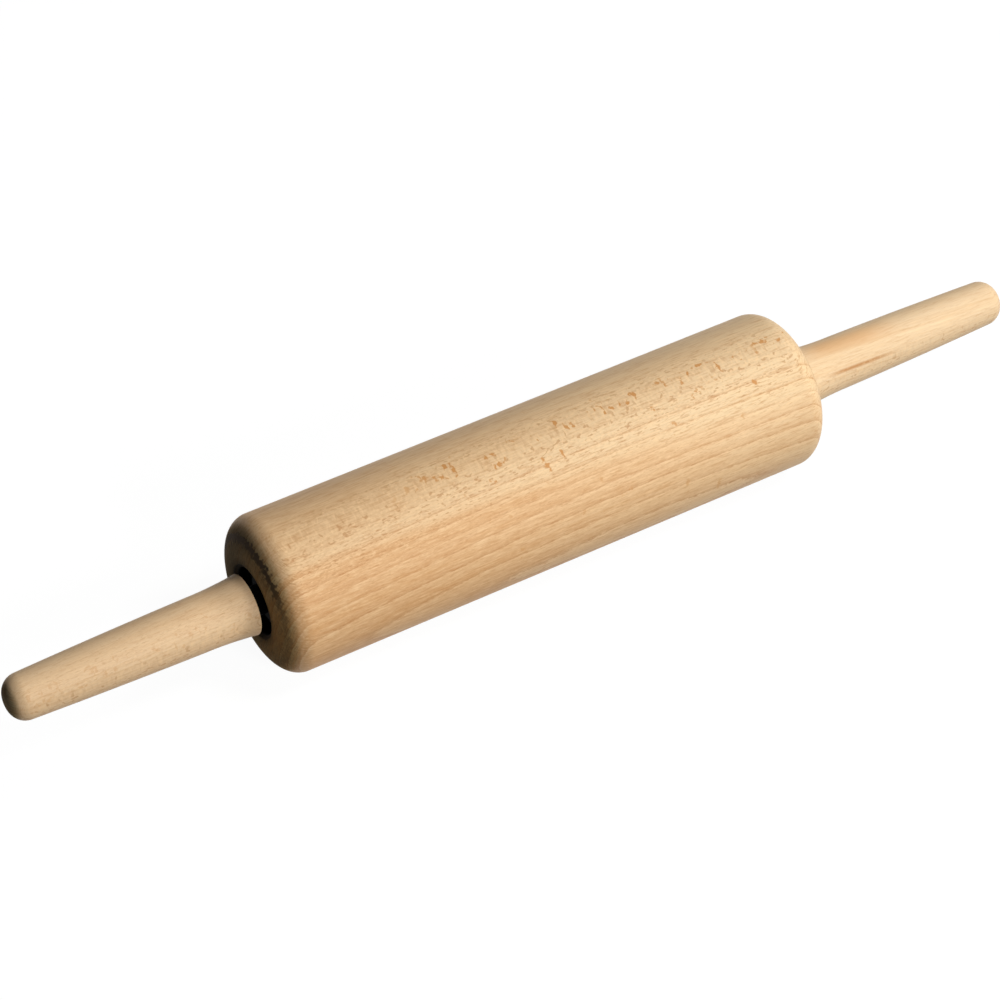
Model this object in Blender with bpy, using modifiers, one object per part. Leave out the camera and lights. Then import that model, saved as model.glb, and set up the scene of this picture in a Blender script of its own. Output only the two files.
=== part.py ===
"""A beech rolling pin with turned handles, modelled as the pieces it is put together from.

The roller turns on two small ball bearings. Their inner rings sit on a steel axle between a
retaining ring and a spacer, and a turned handle is screwed on each end of the axle.
The axle lies along X, the roller rests on Z = 0 and the origin is under its middle.
All sizes are in metres. Stations are distances from the middle along the axle.
"""
import math

import bmesh
import bpy
from mathutils import Euler, Vector

MM = 0.001

# Clearance between a piece and its neighbour or seat
GAP = 0.3 * MM

# Roller
ROLLER_LENGTH = 250 * MM
ROLLER_DIAMETER = 66 * MM
ROLLER_EDGE_ALONG = 10.5 * MM
ROLLER_EDGE_ACROSS = 14 * MM
ROLLER_BORE_DIAMETER = 16 * MM
RECESS_DIAMETER = 32 * MM
RECESS_DEPTH = 5 * MM
RECESS_LIP_ROUND = 0.8 * MM

# Handles
HANDLE_LENGTH = 102.5 * MM
HANDLE_STAND_OFF = 2.3 * MM
HANDLE_RIM_DIAMETER = 25.5 * MM
HANDLE_RIM_ROUND = 0.6 * MM
HANDLE_FLARE_LENGTH = 22 * MM
HANDLE_NECK_DIAMETER = 22.6 * MM
HANDLE_BELLY = 0.2 * MM
HANDLE_END_DIAMETER = 19 * MM
HANDLE_TIP_ALONG = 7.6 * MM
HANDLE_TIP_ACROSS = 7.8 * MM
HANDLE_BORE_RELIEF = 3 * MM

# Axle and what is clamped on it
AXLE_DIAMETER = 8 * MM
AXLE_CHAMFER = 0.8 * MM
AXLE_PAST_INSERT = 4 * MM
INSERT_DIAMETER = 12 * MM
INSERT_LENGTH = 22 * MM
INSERT_GROOVE_DEPTH = 0.7 * MM
INSERT_GROOVE_WIDTH = 2 * MM
SPACER_WALL = 1.8 * MM
RETAINING_RING_THICKNESS = 1 * MM
RETAINING_RING_WIDTH = 2.6 * MM
RETAINING_RING_BITE = 0.2 * MM
RETAINING_RING_OPENING = 3.2 * MM

# Ball bearing, 8 x 22 x 7 mm
BEARING_OUTER_DIAMETER = 22 * MM
BEARING_WIDTH = 7 * MM
BEARING_CHAMFER = 0.3 * MM
BALL_COUNT = 7
BALL_DIAMETER = 3.97 * MM
BALL_CIRCLE_DIAMETER = 15 * MM
INNER_RING_SHOULDER_DIAMETER = 12.1 * MM
OUTER_RING_SHOULDER_DIAMETER = 18 * MM
SEAL_SEAT_DEPTH = 0.7 * MM
SEAL_THICKNESS = 0.3 * MM
SEAL_INSET = 0.1 * MM
CAGE_WALL = 2 * MM
CAGE_BACK = 0.45 * MM
CAGE_PRONG = 1.3 * MM

# Facets
ROLLER_STEPS = 48
HANDLE_STEPS = 32
RING_STEPS = 24
AXLE_STEPS = 20
EDGE_SEGMENTS = 7
LIP_SEGMENTS = 3
TIP_SEGMENTS = 6
RIM_SEGMENTS = 2
FLARE_SEGMENTS = 6
TAPER_SEGMENTS = 5
RACE_SEGMENTS = 4
BALL_SEGMENTS = 12
BALL_RINGS = 7
SHARP_ANGLE = math.radians(35)
DRILL_POINT_ANGLE = math.radians(118)

# Stations along the axle
ROLLER_END = ROLLER_LENGTH / 2
RECESS_FLOOR = ROLLER_END - RECESS_DEPTH
BEARING_MIDDLE = RECESS_FLOOR - BEARING_WIDTH / 2
BEARING_INBOARD = RECESS_FLOOR - BEARING_WIDTH
RETAINING_RING_MIDDLE = BEARING_INBOARD - GAP - RETAINING_RING_THICKNESS / 2
HANDLE_FACE = ROLLER_END + HANDLE_STAND_OFF
AXLE_IN_HANDLE = INSERT_LENGTH + AXLE_PAST_INSERT
AXLE_END = HANDLE_FACE + AXLE_IN_HANDLE

# The roller rests on the flat of its lowest facet
AXIS_HEIGHT = ROLLER_DIAMETER / 2 * math.cos(math.pi / ROLLER_STEPS)

AXLE_RADIUS = AXLE_DIAMETER / 2
BALL_CIRCLE_RADIUS = BALL_CIRCLE_DIAMETER / 2
POCKET_RADIUS = BALL_DIAMETER / 2 + GAP

# Colour, roughness and metallic value of each finish
FINISHES = {
    "roller_beech": ((0.74, 0.52, 0.32), 0.5, 0.0),
    "handle_beech": ((0.78, 0.56, 0.36), 0.5, 0.0),
    "bright_steel": ((0.60, 0.60, 0.61), 0.3, 1.0),
    "bearing_steel": ((0.68, 0.68, 0.69), 0.2, 1.0),
    "spring_steel": ((0.20, 0.20, 0.21), 0.4, 1.0),
    "black_steel": ((0.05, 0.05, 0.052), 0.55, 1.0),
    "seal_rubber": ((0.025, 0.025, 0.026), 0.65, 0.0),
    "brass": ((0.78, 0.60, 0.28), 0.35, 1.0),
    "nylon": ((0.80, 0.77, 0.68), 0.55, 0.0),
}


def clear_objects():
    for obj in list(bpy.data.objects):
        bpy.data.objects.remove(obj, do_unlink=True)


def new_collection(name):
    collection = bpy.data.collections.new(name)
    bpy.context.scene.collection.children.link(collection)
    return collection


def new_material(name, finish):
    colour, roughness, metallic = FINISHES[finish]
    material = bpy.data.materials.new(name)
    material.use_nodes = True
    shader = material.node_tree.nodes["Principled BSDF"]
    shader.inputs["Base Color"].default_value = (*colour, 1.0)
    shader.inputs["Roughness"].default_value = roughness
    shader.inputs["Metallic"].default_value = metallic
    material.diffuse_color = (*colour, 1.0)
    return material


def new_body(name, station, collection):
    """An empty on the axle's line that carries the pieces of one rigid body."""
    empty = bpy.data.objects.new(name, None)
    empty.empty_display_size = ROLLER_DIAMETER
    empty.location = (station, 0, AXIS_HEIGHT)
    collection.objects.link(empty)
    return empty


def place(obj, body, station, side):
    """Put an object on the axle's line, its own +Z pointing away from the middle."""
    obj.parent = body
    obj.location = (side * station - body.location.x, 0, 0)
    obj.rotation_euler = outward_rotation(side)


def outward_rotation(side):
    return Euler((0, side * math.pi / 2, 0))


def arc(centre, radii, start, end, segments):
    """Points (r, z) on an ellipse's arc, angles in degrees from the r direction."""
    points = []
    for index in range(segments + 1):
        angle = math.radians(start + (end - start) * index / segments)
        r = centre[0] + radii[0] * math.cos(angle)
        z = centre[1] + radii[1] * math.sin(angle)
        points.append((r, z))
    return points


def mirrored_loop(lower_half):
    """Close a profile that is the same above and below z = 0."""
    upper_half = [(r, -z) for r, z in reversed(lower_half)]
    return lower_half + upper_half


def turned(name, profile, steps, closed):
    """Turn a profile of (r, z) points about Z. Its outer side runs from the top down."""
    half_step = math.pi / steps
    bm = bmesh.new()
    verts = []
    for r, z in profile:
        verts.append(bm.verts.new((r * math.cos(half_step), r * math.sin(half_step), z)))
    for first, second in zip(verts, verts[1:]):
        bm.edges.new((first, second))
    if closed:
        bm.edges.new((verts[-1], verts[0]))
    mesh = bpy.data.meshes.new(name + "_profile")
    bm.to_mesh(mesh)
    bm.free()
    blank = bpy.data.objects.new(name + "_blank", mesh)
    bpy.context.scene.collection.objects.link(blank)
    screw = blank.modifiers.new("turning", "SCREW")
    screw.axis = "Z"
    screw.angle = 2 * math.pi
    screw.steps = steps
    screw.render_steps = steps
    screw.use_merge_vertices = True
    screw.merge_threshold = 0.01 * MM
    depsgraph = bpy.context.evaluated_depsgraph_get()
    turned_mesh = bpy.data.meshes.new_from_object(blank.evaluated_get(depsgraph))
    turned_mesh.name = name
    turned_mesh.shade_smooth()
    turned_mesh.set_sharp_from_angle(angle=SHARP_ANGLE)
    bpy.data.objects.remove(blank, do_unlink=True)
    bpy.data.meshes.remove(mesh)
    return turned_mesh


def add_piece(name, mesh, finish, collection):
    if not mesh.materials:
        mesh.materials.append(new_material(mesh.name, finish))
    obj = bpy.data.objects.new(name, mesh)
    collection.objects.link(obj)
    return obj


def add_cutter(name, bm, collection):
    mesh = bpy.data.meshes.new(name)
    bm.to_mesh(mesh)
    bm.free()
    cutter = bpy.data.objects.new(name, mesh)
    cutter.hide_render = True
    cutter.display_type = "WIRE"
    collection.objects.link(cutter)
    return cutter


def cut(obj, cutter):
    boolean = obj.modifiers.new(cutter.name, "BOOLEAN")
    boolean.operation = "DIFFERENCE"
    boolean.object = cutter


def roller_profile():
    """The rounded barrel, a recess in each end, a bearing pocket in its floor, and the bore."""
    radius = ROLLER_DIAMETER / 2
    edge_centre = (radius - ROLLER_EDGE_ACROSS, -ROLLER_END + ROLLER_EDGE_ALONG)
    recess_radius = RECESS_DIAMETER / 2
    lip_centre = (recess_radius + RECESS_LIP_ROUND, -ROLLER_END + RECESS_LIP_ROUND)
    lip_radii = (RECESS_LIP_ROUND, RECESS_LIP_ROUND)
    pocket_radius = BEARING_OUTER_DIAMETER / 2 + GAP
    pocket_floor = BEARING_INBOARD - GAP
    bore_radius = ROLLER_BORE_DIAMETER / 2
    lower = arc(edge_centre, (ROLLER_EDGE_ACROSS, ROLLER_EDGE_ALONG), 0, -90, EDGE_SEGMENTS)
    lower += arc(lip_centre, lip_radii, -90, -180, LIP_SEGMENTS)
    lower += [
        (recess_radius, -RECESS_FLOOR),
        (pocket_radius, -RECESS_FLOOR),
        (pocket_radius, -pocket_floor),
        (bore_radius, -pocket_floor),
    ]
    return mirrored_loop(lower)


def handle_radius(z):
    """Radius of the grip at height z over its face: a flare that fades out, then a taper."""
    rim = HANDLE_RIM_DIAMETER / 2
    neck = HANDLE_NECK_DIAMETER / 2
    end = HANDLE_END_DIAMETER / 2
    if z < HANDLE_FLARE_LENGTH:
        return neck + (rim - neck) * (1 - z / HANDLE_FLARE_LENGTH) ** 2
    taper_length = HANDLE_LENGTH - HANDLE_TIP_ALONG - HANDLE_FLARE_LENGTH
    share = (z - HANDLE_FLARE_LENGTH) / taper_length
    return neck + (end - neck) * share + HANDLE_BELLY * 4 * share * (1 - share)


def even_steps(start, end, segments):
    """The heights from start to end, leaving out the last."""
    return [start + (end - start) * index / segments for index in range(segments)]


def handle_profile():
    """From the tip down the grip to the rim, and up the stepped bore to its drilled point."""
    end_radius = HANDLE_END_DIAMETER / 2
    taper_top = HANDLE_LENGTH - HANDLE_TIP_ALONG
    tip_centre = (end_radius - HANDLE_TIP_ACROSS, taper_top)
    profile = [(0, HANDLE_LENGTH)]
    profile += arc(tip_centre, (HANDLE_TIP_ACROSS, HANDLE_TIP_ALONG), 90, 0, TIP_SEGMENTS)[:-1]
    heights = even_steps(taper_top, HANDLE_FLARE_LENGTH, TAPER_SEGMENTS)
    heights += even_steps(HANDLE_FLARE_LENGTH, HANDLE_RIM_ROUND, FLARE_SEGMENTS)
    profile += [(handle_radius(z), z) for z in heights]
    rim_centre = (handle_radius(HANDLE_RIM_ROUND) - HANDLE_RIM_ROUND, HANDLE_RIM_ROUND)
    profile += arc(rim_centre, (HANDLE_RIM_ROUND, HANDLE_RIM_ROUND), 0, -90, RIM_SEGMENTS)
    insert_hole = INSERT_DIAMETER / 2 + GAP
    axle_hole = AXLE_RADIUS + GAP
    hole_end = AXLE_IN_HANDLE + HANDLE_BORE_RELIEF
    point_height = axle_hole / math.tan(DRILL_POINT_ANGLE / 2)
    profile += [
        (insert_hole, 0),
        (insert_hole, INSERT_LENGTH + GAP),
        (axle_hole, INSERT_LENGTH + GAP),
        (axle_hole, hole_end),
        (0, hole_end + point_height),
    ]
    return profile


def axle_profile():
    """A plain rod with chamfered ends and a groove for each retaining ring."""
    groove_half = RETAINING_RING_THICKNESS / 2 + GAP
    groove_radius = AXLE_RADIUS - RETAINING_RING_BITE - GAP
    groove_top = RETAINING_RING_MIDDLE + groove_half
    groove_bottom = RETAINING_RING_MIDDLE - groove_half
    upper = [
        (0, AXLE_END),
        (AXLE_RADIUS - AXLE_CHAMFER, AXLE_END),
        (AXLE_RADIUS, AXLE_END - AXLE_CHAMFER),
        (AXLE_RADIUS, groove_top),
        (groove_radius, groove_top),
        (groove_radius, groove_bottom),
        (AXLE_RADIUS, groove_bottom),
    ]
    return upper + [(r, -z) for r, z in reversed(upper)]


def insert_profile():
    """A brass sleeve with two grooves round it that the glue fills."""
    radius = INSERT_DIAMETER / 2
    groove_radius = radius - INSERT_GROOVE_DEPTH
    profile = [(radius, INSERT_LENGTH)]
    for share in (2 / 3, 1 / 3):
        top = INSERT_LENGTH * share + INSERT_GROOVE_WIDTH / 2
        bottom = INSERT_LENGTH * share - INSERT_GROOVE_WIDTH / 2
        profile += [(radius, top), (groove_radius, top), (groove_radius, bottom), (radius, bottom)]
    profile += [(radius, 0), (AXLE_RADIUS + GAP, 0), (AXLE_RADIUS + GAP, INSERT_LENGTH)]
    return profile


def sleeve_profile(inner_radius, outer_radius, length):
    return [(outer_radius, length), (outer_radius, 0), (inner_radius, 0), (inner_radius, length)]


def chamfered_corner(radius, half_width, inward):
    """The two points of a ring's chamfered lower corner. Inward is the way to its face."""
    return [
        (radius, -half_width + BEARING_CHAMFER),
        (radius + inward * BEARING_CHAMFER, -half_width),
    ]


def race_arc(shoulder_radius, side):
    """The ball groove from its lower shoulder to z = 0. Side is 1 outside the balls, -1 inside."""
    offset = side * (shoulder_radius - BALL_CIRCLE_RADIUS)
    reach = math.degrees(math.acos(offset / POCKET_RADIUS))
    points = []
    for r, z in arc((0, 0), (POCKET_RADIUS, POCKET_RADIUS), -reach, 0, RACE_SEGMENTS // 2):
        points.append((BALL_CIRCLE_RADIUS + side * r, z))
    return points


def inner_ring_profile():
    half = BEARING_WIDTH / 2
    shoulder = INNER_RING_SHOULDER_DIAMETER / 2
    lower = list(reversed(race_arc(shoulder, -1)))[1:]
    lower += chamfered_corner(shoulder, half, -1)
    lower += list(reversed(chamfered_corner(AXLE_RADIUS + GAP, half, 1)))
    groove_middle = [(BALL_CIRCLE_RADIUS - POCKET_RADIUS, 0)]
    return groove_middle + mirrored_loop(lower)


def outer_ring_profile():
    half = BEARING_WIDTH / 2
    shoulder = OUTER_RING_SHOULDER_DIAMETER / 2
    seat_radius = shoulder + SEAL_SEAT_DEPTH
    seat_floor = half - SEAL_INSET - SEAL_THICKNESS - GAP
    lower = chamfered_corner(BEARING_OUTER_DIAMETER / 2, half, -1)
    lower += [(seat_radius, -half), (seat_radius, -seat_floor), (shoulder, -seat_floor)]
    lower += race_arc(shoulder, 1)[:-1]
    upper = [(r, -z) for r, z in reversed(lower)]
    return lower + [(BALL_CIRCLE_RADIUS + POCKET_RADIUS, 0)] + upper


def cage_profile():
    """A ring whose back stands just clear of the outboard seal."""
    inner_radius = BALL_CIRCLE_RADIUS - CAGE_WALL / 2
    outer_radius = BALL_CIRCLE_RADIUS + CAGE_WALL / 2
    top = POCKET_RADIUS + CAGE_BACK
    return [
        (outer_radius, top),
        (outer_radius, -CAGE_PRONG),
        (inner_radius, -CAGE_PRONG),
        (inner_radius, top),
    ]


def ball_centres():
    """Centres of the balls about the bearing's own Z axis."""
    centres = []
    for index in range(BALL_COUNT):
        angle = 2 * math.pi * (index + 0.5) / BALL_COUNT
        x = BALL_CIRCLE_RADIUS * math.cos(angle)
        y = BALL_CIRCLE_RADIUS * math.sin(angle)
        centres.append(Vector((x, y, 0)))
    return centres


def sphere_bmesh(radius, centres, segments, rings):
    bm = bmesh.new()
    for centre in centres:
        sphere = bmesh.ops.create_uvsphere(bm, u_segments=segments, v_segments=rings, radius=radius)
        bmesh.ops.translate(bm, verts=sphere["verts"], vec=centre)
    return bm


def ball_mesh():
    bm = sphere_bmesh(BALL_DIAMETER / 2, [Vector((0, 0, 0))], BALL_SEGMENTS, BALL_RINGS)
    mesh = bpy.data.meshes.new("bearing_ball")
    bm.to_mesh(mesh)
    bm.free()
    mesh.shade_smooth()
    return mesh


def add_handle(label, side, body, collection):
    mesh = turned(label + "_handle", handle_profile(), HANDLE_STEPS, closed=False)
    handle = add_piece(label + "_handle", mesh, "handle_beech", collection)
    place(handle, body, HANDLE_FACE, side)


def add_threaded_insert(label, side, body, collection):
    mesh = turned(label + "_threaded_insert", insert_profile(), RING_STEPS, closed=True)
    insert = add_piece(label + "_threaded_insert", mesh, "brass", collection)
    place(insert, body, HANDLE_FACE, side)


def add_spacer(label, side, body, collection):
    inner_radius = AXLE_RADIUS + GAP
    length = HANDLE_FACE - RECESS_FLOOR - 2 * GAP
    profile = sleeve_profile(inner_radius, inner_radius + SPACER_WALL, length)
    mesh = turned(label + "_spacer", profile, RING_STEPS, closed=True)
    spacer = add_piece(label + "_spacer", mesh, "black_steel", collection)
    place(spacer, body, RECESS_FLOOR + GAP, side)


def add_retaining_ring(label, side, body, collection, cutters):
    """An open spring ring that sits in the axle's groove against the inner ring."""
    inner_radius = AXLE_RADIUS - RETAINING_RING_BITE
    thickness = RETAINING_RING_THICKNESS
    profile = sleeve_profile(inner_radius, inner_radius + RETAINING_RING_WIDTH, thickness)
    mesh = turned(label + "_retaining_ring", profile, RING_STEPS, closed=True)
    ring = add_piece(label + "_retaining_ring", mesh, "spring_steel", collection)
    place(ring, body, RETAINING_RING_MIDDLE - thickness / 2, side)
    bm = bmesh.new()
    bmesh.ops.create_cube(bm, size=1)
    size = Vector((2 * RETAINING_RING_WIDTH, RETAINING_RING_OPENING, 3 * thickness))
    middle = Vector((inner_radius + RETAINING_RING_WIDTH / 2, 0, thickness / 2))
    bmesh.ops.scale(bm, verts=bm.verts, vec=size)
    bmesh.ops.translate(bm, verts=bm.verts, vec=middle)
    opening = add_cutter(label + "_ring_opening", bm, cutters)
    place(opening, body, RETAINING_RING_MIDDLE - thickness / 2, side)
    cut(ring, opening)


def add_bearing_ring(name, profile, side, body, collection):
    mesh = turned(name, profile, RING_STEPS, closed=True)
    ring = add_piece(name, mesh, "bearing_steel", collection)
    place(ring, body, BEARING_MIDDLE, side)


def add_seal(name, face, side, body, collection):
    """A thin washer in the outer ring. Face is 1 on the handle's side, -1 on the inner one."""
    inner_radius = INNER_RING_SHOULDER_DIAMETER / 2 + GAP
    outer_radius = OUTER_RING_SHOULDER_DIAMETER / 2 + SEAL_SEAT_DEPTH - GAP
    profile = sleeve_profile(inner_radius, outer_radius, SEAL_THICKNESS)
    mesh = turned(name, profile, RING_STEPS, closed=True)
    seal = add_piece(name, mesh, "seal_rubber", collection)
    seal_middle = BEARING_WIDTH / 2 - SEAL_INSET - SEAL_THICKNESS / 2
    station = BEARING_MIDDLE + face * seal_middle - SEAL_THICKNESS / 2
    place(seal, body, station, side)


def add_cage(label, side, body, collection, cutters):
    """A crown cage: balls snap into round pockets that are open towards the middle."""
    mesh = turned(label + "_bearing_cage", cage_profile(), RING_STEPS, closed=True)
    cage = add_piece(label + "_bearing_cage", mesh, "nylon", collection)
    place(cage, body, BEARING_MIDDLE, side)
    bm = sphere_bmesh(POCKET_RADIUS, ball_centres(), BALL_SEGMENTS, BALL_RINGS + 1)
    pockets = add_cutter(label + "_cage_pockets", bm, cutters)
    place(pockets, body, BEARING_MIDDLE, side)
    cut(cage, pockets)


def add_balls(label, side, body, mesh, collection):
    for index, centre in enumerate(ball_centres(), start=1):
        ball = add_piece(f"{label}_bearing_ball_{index}", mesh, "bearing_steel", collection)
        ball.parent = body
        ball.location = outward_rotation(side).to_matrix() @ centre


def build_handles_and_axle(collection, cutters):
    body = new_body("handles_and_axle", 0, collection)
    axle_mesh = turned("axle", axle_profile(), AXLE_STEPS, closed=False)
    place(add_piece("axle", axle_mesh, "bright_steel", collection), body, 0, 1)
    for label, side in (("left", -1), ("right", 1)):
        add_handle(label, side, body, collection)
        add_threaded_insert(label, side, body, collection)
        add_spacer(label, side, body, collection)
        add_retaining_ring(label, side, body, collection, cutters)
        name = label + "_bearing_inner_ring"
        add_bearing_ring(name, inner_ring_profile(), side, body, collection)


def build_roller(collection):
    body = new_body("roller_and_outer_rings", 0, collection)
    mesh = turned("roller", roller_profile(), ROLLER_STEPS, closed=True)
    place(add_piece("roller", mesh, "roller_beech", collection), body, 0, 1)
    for label, side in (("left", -1), ("right", 1)):
        name = label + "_bearing_outer_ring"
        add_bearing_ring(name, outer_ring_profile(), side, body, collection)
        add_seal(label + "_bearing_outboard_seal", 1, side, body, collection)
        add_seal(label + "_bearing_inboard_seal", -1, side, body, collection)


def build_cages_and_balls(collection, cutters):
    shared_ball = ball_mesh()
    for label, side in (("left", -1), ("right", 1)):
        body = new_body(label + "_cage_and_balls", side * BEARING_MIDDLE, collection)
        add_cage(label, side, body, collection, cutters)
        add_balls(label, side, body, shared_ball, collection)


def main():
    clear_objects()
    collection = new_collection("rolling_pin")
    cutters = new_collection("cutters")
    build_handles_and_axle(collection, cutters)
    build_roller(collection)
    build_cages_and_balls(collection, cutters)


if __name__ == "__main__":
    main()
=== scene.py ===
"""A turned beech rolling pin: the looks of its pieces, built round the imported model.

The axle lies along X, the roller rests on Z = 0 and the origin is under its middle.
Lengths are in metres. Stations are distances from the middle along the axle.
"""

import math
from typing import NamedTuple

import bmesh
import bpy
from mathutils import Matrix, Vector


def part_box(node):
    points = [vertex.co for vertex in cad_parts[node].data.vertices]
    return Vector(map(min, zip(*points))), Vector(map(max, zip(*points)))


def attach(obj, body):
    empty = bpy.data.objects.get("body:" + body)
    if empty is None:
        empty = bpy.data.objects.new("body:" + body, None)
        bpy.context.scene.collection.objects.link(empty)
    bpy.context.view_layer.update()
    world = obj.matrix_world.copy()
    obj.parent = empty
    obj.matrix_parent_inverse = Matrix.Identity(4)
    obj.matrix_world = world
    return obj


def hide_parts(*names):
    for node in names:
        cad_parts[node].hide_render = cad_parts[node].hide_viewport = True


bl_info = {
    "name": "Beech rolling pin",
    "version": (1, 0, 0),
    "blender": (4, 5, 0),
    "location": "View3D > Sidebar > Rolling pin",
    "description": "Turned roller and handles on a steel axle with two ball bearings",
    "category": "Object",
}

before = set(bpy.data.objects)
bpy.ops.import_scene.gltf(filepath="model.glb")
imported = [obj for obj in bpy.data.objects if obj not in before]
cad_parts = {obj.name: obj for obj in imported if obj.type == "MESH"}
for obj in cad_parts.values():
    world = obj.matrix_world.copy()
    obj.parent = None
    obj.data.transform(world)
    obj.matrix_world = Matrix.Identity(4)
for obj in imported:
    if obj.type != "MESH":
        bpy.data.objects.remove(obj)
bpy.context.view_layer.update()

MM = 0.001
TURN = 2 * math.pi
SIDES = (("left", -1), ("right", 1))
BLACK = (0.0, 0.0, 0.0)
WHITE = (1.0, 1.0, 1.0)

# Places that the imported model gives
ROLLER_LOW, ROLLER_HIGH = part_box("roller")
HANDLE_LOW, HANDLE_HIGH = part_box("right_handle")
AXIS_HEIGHT = (ROLLER_LOW.z + ROLLER_HIGH.z) / 2
HANDLE_FACE = HANDLE_LOW.x
BEARING_MIDDLE = sum(corner.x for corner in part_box("right_bearing_outer_ring")) / 2
CLIP_MIDDLE = sum(corner.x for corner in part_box("right_retaining_ring")) / 2

# Small sizes that are not worth a property
CLEARANCE = 0.3 * MM
SEAT_PLAY = 0.02 * MM
GROOVE_PLAY = 0.05 * MM
RACE_PLAY = 0.06 * MM
POCKET_PLAY = 0.08 * MM
THREAD_PLAY = 0.12 * MM
BEARING_CHAMFER = 0.3 * MM
HOLE_CHAMFER = 0.4 * MM
SLEEVE_CHAMFER = 0.25 * MM
CAGE_CHAMFER = 0.2 * MM
DRILLED_PAST_ROD = 3 * MM
INSERT_SUNK = 0.05 * MM
CAGE_FRONT = 0.7 * MM
CAGE_BACK = 1.3 * MM
SEAL_THICKNESS = 0.3 * MM
SEAL_INSET = 0.1 * MM
SEAL_SEAT_DEPTH = 0.7 * MM
SEAL_STEP = 0.08 * MM
SEAL_SLOPE = 0.25 * MM
CLIP_EDGE = 0.08 * MM
CLIP_LUG = 2.6 * MM
CLIP_LUG_CROWN = 0.15 * MM
CLIP_HOLE_OUT = 1.5 * MM
CLIP_HOLE_RADIUS = 0.5 * MM
CLIP_HALF_GAP = math.radians(24)
CLIP_LUG_SWING = math.radians(15)
SHARP_ANGLE = math.radians(32)
DRILL_POINT_ANGLE = math.radians(118)

# How finely the pieces are divided
BARREL_ROWS = 40
EDGE_ROWS = 30
LIP_ROWS = 8
ROD_ROWS = 8
RACE_ROWS = 20
THREAD_ROWS_PER_TURN = 14
CLIP_STEPS = 56
CLIP_HOLE_STEPS = 16
BALL_FACES = (40, 22)
POCKET_FACES = (36, 19)
WELD_DISTANCE = 0.0015 * MM
CLIP_WELD_DISTANCE = 0.0005 * MM

# The stage
FLOOR_HALF_WIDTH = 30.0
FLOOR_DROP = 0.0002
FLOOR_GLOW = 0.95
FLOOR_TONE = (0.1, 0.1, 0.1)
LAMP_SIZE = 0.35
LAMP_DISTANCE = 1.5

# Lamps, each with its degrees up from the front and to the right
LAMPS = (("key", 65, 22), ("front", 28, 2), ("back", 105, 43), ("low", 8, 35))

# Metals: roughness, then the fine marks' spacing along, across and up and their depth, in mm
METALS = {
    "bright_steel": (0.3, (6.0, 0.12, 0.12), 0.01),
    "bearing_steel": (0.22, (0.05, 1.0, 1.0), 0.004),
    "ball_steel": (0.1, (0.4, 0.4, 0.4), 0.001),
    "spring_steel": (0.42, (0.5, 0.3, 0.3), 0.008),
    "black_steel": (0.55, (0.5, 0.3, 0.3), 0.006),
    "brass": (0.32, (0.06, 1.0, 1.0), 0.006),
}

# Moulded finishes: roughness and shine
MOULDINGS = {"nylon": (0.48, 0.5), "seal_rubber": (0.62, 0.05)}


# Sizes and colours that a user may change

def number(name, description, default, **more):
    return bpy.props.FloatProperty(name=name, description=description, default=default, **more)


def length(name, description, default):
    return number(name, description, default, min=0.0, unit="LENGTH", precision=5)


def power(name, description, default):
    return number(name, description, default, min=0.0, unit="POWER")


def colour(name, description, default):
    return bpy.props.FloatVectorProperty(
        name=name, description=description, default=default, min=0.0, max=1.0, subtype="COLOR", size=3
    )


def count(name, description, default):
    return bpy.props.IntProperty(name=name, description=description, default=default, min=3)


class RollerSizes(bpy.types.PropertyGroup):
    length: length("Length", "Over the two end faces", ROLLER_HIGH.x - ROLLER_LOW.x)
    diameter: length("Diameter", "Across the barrel", ROLLER_HIGH.z - ROLLER_LOW.z)
    edge_along: length("Edge along", "How far the rounded end reaches along the roller", 10.5 * MM)
    edge_across: length("Edge across", "How far the rounded end reaches in", 14 * MM)
    recess_diameter: length("Recess diameter", "Across the hollow in each end", 27.6 * MM)
    recess_depth: length("Recess depth", "From the end face to its floor", 5 * MM)
    lip_round: length("Lip round", "Rounding at the mouth of the recess", 2.6 * MM)
    bore_diameter: length("Bore", "Hole through the roller", 16 * MM)
    steps: count("Steps round", "Faces round the barrel", 256)


class HandleSizes(bpy.types.PropertyGroup):
    length: length("Length", "From the face to the tip", HANDLE_HIGH.x - HANDLE_LOW.x)
    rim_diameter: length("Rim", "Across the flared face", 25.5 * MM)
    rim_round: length("Rim round", "Rounding of the rim", 0.6 * MM)
    flare_length: length("Flare", "Length of the flare", 22 * MM)
    neck_diameter: length("Neck", "Across the grip where the flare ends", 22.6 * MM)
    belly: length("Belly", "How far the grip swells over a straight taper", 0.2 * MM)
    end_diameter: length("End", "Across the grip where the tip begins", 19 * MM)
    tip_along: length("Tip along", "Length of the rounded tip", 7.6 * MM)
    tip_across: length("Tip across", "How far the rounded tip reaches in", 7.8 * MM)
    steps: count("Steps round", "Faces round the grip", 160)
    rows: count("Rows", "Rows of faces along the grip", 168)


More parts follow.
